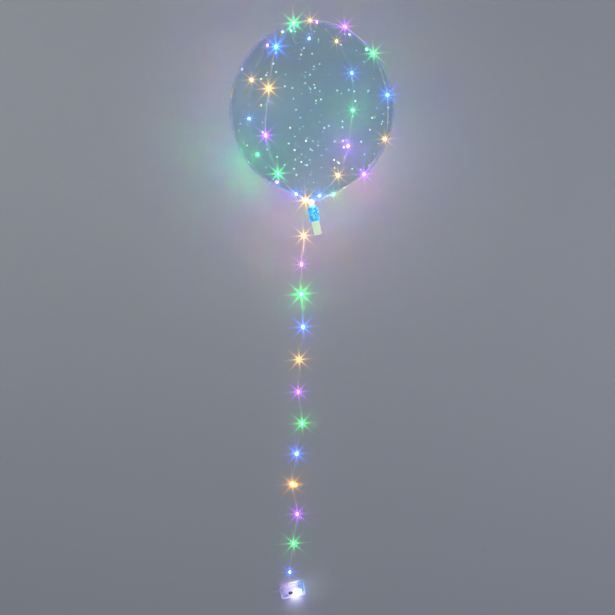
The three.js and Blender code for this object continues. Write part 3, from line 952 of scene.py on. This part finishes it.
leadLine = evenly(throughPoints([Vector(point) * mm for point in leadPoints], 20), string.step * mm)
upwards = Vector((0, 0, 1))
leadStrands = strandLines(leadLine, leadLights, lambda place: upwards, string.leadPartedMost, 0, 7)
leadMesh = wireMesh("leadWire", leadStrands, strandRadius)
leadWire = addPiece("leadWire", leadMesh, [leadWireLook], ["lead_wire"])
leadBeads = addBeads(leadLights, leadLine)
print("lead length", round(lengthsAlong(leadLine)[-1], 4))

wrap = Measures(
    inner=5.6, outer=7.0, top=-215.5, bottom=-218.5, turns=3.5, stepsPerTurn=28,
    wobble=0.12, slant=0.3, crossings=2, crossingSteps=32, crossingRise=0.4,
    crossingShare=0.42, seed=11,
)


def roundNeck(radius, along, angle):
    return ballFrame @ (Vector((radius * sin(angle), along, radius * cos(angle))) * mm)


# The string wound round the tied neck: an inner and an outer layer of turns, and a few slanting ones
def wrapLines():
    shuffled = random.Random(wrap.seed)
    height = wrap.top - wrap.bottom
    lines = []

    def turnsAt(radius, turns, start, slant, phase):
        line = []
        count = round(turns * wrap.stepsPerTurn)
        for k in range(count + 1):
            share = k / count
            angle = 2 * pi * turns * share + phase
            along = start + height * (share if start == wrap.bottom else -share)
            along += slant * sin(angle)
            reach = radius + wrap.wobble * sin(3 * angle + phase)
            line.append(roundNeck(reach, along, angle))
        return line

    for offset in (0.0, 0.5):
        lines.append(turnsAt(wrap.inner, wrap.turns, wrap.top, 0.0, offset))
        lines.append(turnsAt(wrap.outer, wrap.turns - 1, wrap.bottom, wrap.slant, offset + 2))
    middle = (wrap.top + wrap.bottom) / 2
    for k in range(wrap.crossings):
        phase = shuffled.uniform(0, 2 * pi)
        line = []
        for step in range(wrap.crossingSteps):
            angle = 2 * pi * step / wrap.crossingSteps
            along = middle + wrap.crossingShare * height * sin(angle)
            line.append(roundNeck(wrap.outer + wrap.crossingRise, along, angle + phase))
        lines.append(line)
    return lines


windingMesh = wireMesh("neckWinding", wrapLines(), strandRadius)
addPiece("neckWinding", windingMesh, [windingWire], ["neck_wire_wrap"])


# Battery case, built in millimetres about its own middle and then put in place
case = Measures(
    length=76, width=40, wall=1.8, corner=3, trayHeight=17, lid=1.8,
    lipDepth=2, lipWall=1.2, fit=0.3, turn=12, place=(-58, -1420),
    cellBay=53, partition=1.5, partitionHeight=12,
    hole=(-6, 8.5, 1.6), recess=(15, 11, 0.8), recessPlace=(-7, -4),
    ridges=4, ridgePitch=2.6, ridge=(1.1, 9, 0.7), ridgePlace=(-25, -9),
    tab=(19, 9, 2.7), tabPlace=13, soft=0.28,
)
caseLook = {
    "clear": 0.86, "alpha": 1.0, "ior": 1.47, "tint": (0.965, 0.935, 1.0), "deep": (0.9, 0.95, 1.0),
    "marks": (45.0, 0.02, 0.12), "wave": 0.06, "shade": (0.92, 0.94, 0.99),
}
# Dark plastic for the lid's oval recess and ridges: painted shade
caseShade = {"clear": 0.2, "tint": (0.08, 0.09, 0.14), "deep": (0.15, 0.15, 0.22)}
caseFrame = (
    Matrix.Translation((case.place[0] * mm, case.place[1] * mm, 0))
    @ Matrix.Rotation(radians(case.turn), 4, "Z")
    @ Matrix.Scale(mm, 4)
)
innerLength = case.length - 2 * case.wall
innerWidth = case.width - 2 * case.wall
innerCorner = case.corner - case.wall
partitionX = -innerLength / 2 + case.cellBay + case.partition / 2
lidBottom = case.trayHeight + case.fit
lidTop = lidBottom + case.lid


def slab(length, width, height, corner, low, middle=(0, 0), segments=7):
    bm = bmesh.new()
    addBlock(bm, (length, width, height), (*middle, low + height / 2))
    if corner:
        soften(bm, edgesAlong(bm, 2, height / 2), corner, segments)
    return meshOf(bm, "slab")


def rod(radii, depth, place, sides, stretch=(1, 1)):
    bm = bmesh.new()
    bmesh.ops.create_cone(bm, cap_ends=True, segments=sides, radius1=radii[0], radius2=radii[1], depth=depth)
    bmesh.ops.scale(bm, vec=(*stretch, 1), verts=bm.verts)
    return meshOf(bm, "rod", place)


def joined(base, tool, operation):
    body = addObject("body", base)
    other = addObject("other", tool)
    cut = body.modifiers.new("cut", "BOOLEAN")
    cut.operation, cut.solver, cut.object = operation, "EXACT", other
    bpy.context.view_layer.update()
    result = bpy.data.meshes.new_from_object(body.evaluated_get(bpy.context.evaluated_depsgraph_get()))
    bpy.data.objects.remove(body)
    bpy.data.objects.remove(other)
    return result


# Softens the moulding's edges, gives them the second material with its painted edge highlight, and puts it in
# its place
def moulded(mesh, name):
    bm = opened(mesh)
    bmesh.ops.remove_doubles(bm, verts=bm.verts, dist=1e-4)
    bmesh.ops.dissolve_limit(bm, angle_limit=0.01, verts=bm.verts, edges=bm.edges)
    softened = soften(bm, sharpEdges(bm, radians(40)), case.soft, 2, clamp_overlap=True)
    for face in softened["faces"]:
        face.material_index = 1
    bmesh.ops.recalc_face_normals(bm, faces=bm.faces)
    return meshOf(bm, name, caseFrame)


# Painted lamp light: the case gives off most near its lamp, lilac on the cells' side and blue on the other,
# with a painted white core
def dressCase(material, strength, reach, whiteStrength, whiteReach):
    tree = material.node_tree
    light = placeGroup(tree, caseLight, strength=strength, reach=reach)
    white = placeGroup(tree, caseWhiteLight, strength=whiteStrength, reach=whiteReach)
    giveOff(tree, [light, white])


def makeTray():
    height = case.trayHeight
    tray = slab(case.length, case.width, height, case.corner, 0)
    tray = joined(tray, slab(innerLength, innerWidth, height, innerCorner, case.wall), "DIFFERENCE")
    wall = slab(
        case.partition, case.width - case.wall, case.partitionHeight, 0, case.wall / 2,
        (partitionX, 0),
    )
    tray = joined(tray, wall, "UNION")
    x, z, radius = case.hole
    turned = Matrix.Translation((x, case.width / 2, z)) @ Matrix.Rotation(pi / 2, 4, "X")
    tray = joined(tray, rod((radius, radius), 4 * case.wall, turned, 24), "DIFFERENCE")
    return moulded(tray, "caseTray")


def makeLid():
    lid = slab(case.length, case.width, case.lid, case.corner, lidBottom)
    length, width, corner = case.tab
    overlap = case.corner + corner
    reach = -case.length / 2 + (overlap - length) / 2
    tab = slab(length + overlap, width, case.lid, corner, lidBottom, (reach, case.tabPlace))
    lid = joined(lid, tab, "UNION")
    outer = (innerLength - 2 * case.fit, innerWidth - 2 * case.fit)
    inner = (outer[0] - 2 * case.lipWall, outer[1] - 2 * case.lipWall)
    lip = slab(*outer, case.lipDepth + case.lid / 2, innerCorner, lidBottom - case.lipDepth)
    lip = joined(lip, slab(*inner, 3 * case.lipDepth, 0.6, lidBottom - 2 * case.lipDepth), "DIFFERENCE")
    lid = joined(lid, lip, "UNION")
    ovalLong, ovalWide, deep = case.recess
    x, y = case.recessPlace
    oval = rod((1, 1), 2 * deep, Matrix.Translation((x, y, lidTop)), 48, (ovalLong / 2, ovalWide / 2))
    lid = joined(lid, oval, "DIFFERENCE")
    for k in range(case.ridges):
        middle = (case.ridgePlace[0] + k * case.ridgePitch, case.ridgePlace[1])
        wide, long, high = case.ridge
        lid = joined(lid, slab(wide, long, 2 * high, 0, lidTop - high, middle), "UNION")
    mesh = moulded(lid, "caseLid")
    toCase = caseFrame.inverted()
    # The recess floor and the ridges take the third material, the painted shade
    for face in mesh.polygons:
        spot = toCase @ face.center
        inOval = hypot((spot.x - x) / ovalLong, (spot.y - y) / ovalWide) < 0.5
        if spot.z > lidTop + 0.1 or inOval and 0.1 < lidTop - spot.z < deep + 0.1:
            face.material_index = 2
    return mesh


print("battery case")
caseGlow = caseFrame @ Vector((8, -12, 12))
# Painted lamp light on the case: lilac and blue, with a white core
caseLight = makeGlow("caseLight", caseGlow, caseFrame.to_3x3().normalized() @ Vector((11, 0, 0)), 90, [
    (0.02, (0.4, 0.3, 0.9)), (0.3, (0.72, 0.55, 1.0)), (0.5, (1.0, 0.97, 1.0)), (0.66, (0.3, 0.5, 1.0)),
    (0.9, (0.05, 0.2, 0.9)),
])
caseWhiteLight = makeGlow("caseWhiteLight", caseGlow, (0, 0, 0), 60, [(0.3, (0.9, 0.92, 1.0)), (0.8, (1, 1, 1))])
caseMaterials = [clearMaterial("clearMoulding", caseLook), clearMaterial("litEdge", caseLook)]
# Painted lamp light on the clear plastic, much stronger on the softened edges as a painted highlight
dressCase(caseMaterials[0], 0.2, 0.07, 0.4, 0.018)
dressCase(caseMaterials[1], 5.0, 0.14, 0.5, 0.02)
caseMaterials.append(clearMaterial("shadedMoulding", {**caseLook, **caseShade}))
addPiece("caseTray", makeTray(), caseMaterials, ["case_tray"], sharp=50)
addPiece("caseLid", makeLid(), caseMaterials, ["case_lid"], sharp=50)

inside = Measures(
    cell=14.5, cellHeight=9.2, plate=0.6, plateMargin=2.7, plateHeight=11.5,
    plateCorner=1.2, springSteps=26,
    button=(3.0, 2.4, 1.0), spring=(4.2, 3.0, 8.5, 0.9, 3.5),
    board=1.2, boardMargin=1.7, boardCorner=0.6, lamp=(2.5, 5.0), lampPlace=-12,
    lampSides=28, domeShare=0.93,
)
cellPitch = inside.cell + (innerWidth - 2 * inside.cell) / 3
leftPlate = -innerLength / 2 + case.fit + inside.plate / 2
rightPlate = partitionX - case.partition / 2 - case.fit - inside.plate / 2
boardStart = partitionX + case.partition / 2 + case.fit
boardLength = innerLength / 2 - case.fit - boardStart
boardTop = case.wall + case.fit + inside.board


def makePlate(x, withButtons):
    width = innerWidth - 2 * inside.plateMargin
    low = case.wall + case.fit
    bm = bmesh.new()
    sheet = (inside.plate, width, inside.plateHeight)
    addBlock(bm, sheet, (x, 0, low + inside.plateHeight / 2))
    soften(bm, edgesAlong(bm, 0, inside.plate / 2), inside.plateCorner, 5)
    mesh = meshOf(bm, "plate")
    if withButtons:
        *radii, height = inside.button
        for side in (-1, 1):
            turned = (
                Matrix.Translation((x - height / 2, side * cellPitch / 2, inside.cellHeight))
                @ Matrix.Rotation(-pi / 2, 4, "Y")
            )
            mesh = joined(mesh, rod(radii, height + inside.plate / 2, turned, 32), "UNION")
    bm = opened(mesh)
    bmesh.ops.recalc_face_normals(bm, faces=bm.faces)
    return meshOf(bm, "plate", caseFrame)


def makeSpring(side):
    wide, narrow, length, wire, turns = inside.spring
    start = leftPlate + inside.plate / 2 + case.fit
    line = []
    count = round(turns * inside.springSteps)
    for k in range(count + 1):
        share = k / count
        angle = 2 * pi * turns * share
        radius = wide + (narrow - wide) * share
        run = wire / 2 + (length - wire) * (smoothShare(share) + share) / 2
        line.append(caseFrame @ Vector((
            start + run, side * cellPitch / 2 + radius * cos(angle),
            inside.cellHeight + radius * sin(angle),
        )))
    return wireMesh("spring", [line], wire * mm / 2, resolution=2)


def makeBoard():
    middle = boardStart + boardLength / 2
    width = innerWidth - 2 * inside.boardMargin
    low = boardTop - inside.board
    mesh = slab(boardLength, width, inside.board, inside.boardCorner, low, (middle, 0))
    bm = opened(mesh)
    padSpots = [(-0.25, 0.42), (0.25, 0.42), (-0.3, -0.4), (0.3, -0.4)]
    for across, along in padSpots:
        before = set(bm.faces)
        spot = Matrix.Translation((middle + across * boardLength, along * width, boardTop))
        bmesh.ops.create_uvsphere(
            bm, u_segments=16, v_segments=8, radius=1, matrix=spot @ Matrix.Diagonal((1.3, 1.6, 0.5, 1)),
        )
        markNew(bm, before)
    return meshOf(bm, "circuitBoard", caseFrame)


def makeLamp():
    radius, height = inside.lamp
    straight = height - radius
    dome = radius * inside.domeShare
    outline = [(0, 0, 0), (radius, 0, 0), (radius, 0, 0.5), (dome, 0, 0.62), (dome, 0, straight)]
    for angle in range(10, 90, 10):
        turn = radians(angle)
        outline.append((dome * cos(turn), 0, straight + radius * sin(turn)))
    bm = turnedBody([*outline, (0, 0, height)], (0, 0, 1), inside.lampSides, 1e-4)
    outer = set(bm.faces)
    addBlock(bm, (1.6, 1.6, 1.2), (0, 0, 2))
    markNew(bm, outer)
    place = Matrix.Translation((boardStart + boardLength / 4, inside.lampPlace, boardTop + case.fit))
    return meshOf(bm, "caseLamp", caseFrame @ place)


print("inside the case")
nickel = handledMaterial(
    "nickelPlate", (220.0, 0.14, 0.32, 2500.0), ((0.78, 0.77, 0.75), (0.66, 0.66, 0.67)), (0.12, 0.0002),
    Metallic=1.0,
)
boardLacquer = handledMaterial(
    "boardLacquer", (300.0, 0.3, 0.5, 2500.0), ((0.04, 0.16, 0.08), (0.07, 0.24, 0.12)), (0.1, 0.0002),
    Coat_Weight=0.4, Coat_Roughness=0.15,
)
# Painted lamp light on the board, from the case's lamp
dressCase(boardLacquer, 0.45, 0.06, 0.3, 0.015)
metalPieces = [
    ("contactPlateLeft", makePlate(leftPlate, False), "contact_plate_left"),
    ("contactPlateRight", makePlate(rightPlate, True), "contact_plate_right"),
    ("contactSpringFront", makeSpring(-1), "contact_spring_front"),
    ("contactSpringBack", makeSpring(1), "contact_spring_back"),
]
for name, mesh, node in metalPieces:
    addPiece(name, mesh, [nickel], [node], sharp=40)
addPiece("circuitBoard", makeBoard(), [boardLacquer, nickel], ["circuit_board"], sharp=40)
white = {"glow": (0.8, 0.88, 1.0), "core": (0.9, 0.94, 1.0), "resin": (0.95, 0.97, 1.0), "power": 0.8}
lampMesh = makeLamp()
setLit(lampMesh, 1.0)
lampMaterials = [resinMaterial("white", white), chipMaterial("white", white)]
addPiece("caseLamp", lampMesh, lampMaterials, ["case_lamp"])


# The lamp's light, which fans out over the floor in front of the case, with a violet fringe
lampLights = [
    ("lampLight", 0.09, (0.78, 0.86, 1.0), 80, (-0.05, -1, -0.4)),
    ("lampFringe", 0.07, (0.35, 0.2, 1.0), 150, (0.1, -1, -0.2)),
]


def addLampLights():
    for name, power, colour, spread, direction in lampLights:
        beam = addLight(name, "SPOT", caseGlow, direction, power, colour)
        beam.spot_size = radians(spread)
        beam.spot_blend = 0.9
        beam.shadow_soft_size = 0.002


addLampLights()


starPoints = {
    "Threshold": 12.0, "Strength": 0.15, "Streaks": 8, "Streaks Angle": radians(4),
    "Iterations": 3, "Fade": 0.61, "Color Modulation": 0.0, "Saturation": 1.3,
}
halo = {
    "Threshold": 4.0, "Clamp": True, "Maximum": 150.0, "Strength": 1.0, "Size": 0.03, "Saturation": 1.6,
}


# Star points and a soft halo round each lamp, as the photo's lens gave them
def addStars():
    scene = bpy.context.scene
    scene.use_nodes = True
    tree = scene.node_tree
    tree.nodes.clear()
    last = tree.nodes.new("CompositorNodeRLayers")
    for kind, values in (("STREAKS", starPoints), ("BLOOM", halo)):
        glare = tree.nodes.new("CompositorNodeGlare")
        glare.glare_type = kind
        glare.quality = "HIGH"
        joinNodes(tree, [(last, "Image", glare, "Image")])
        last = setInputs(glare, values)
    output = tree.nodes.new("CompositorNodeComposite")
    joinNodes(tree, [(last, "Image", output, "Image")])


addStars()

print("finish")
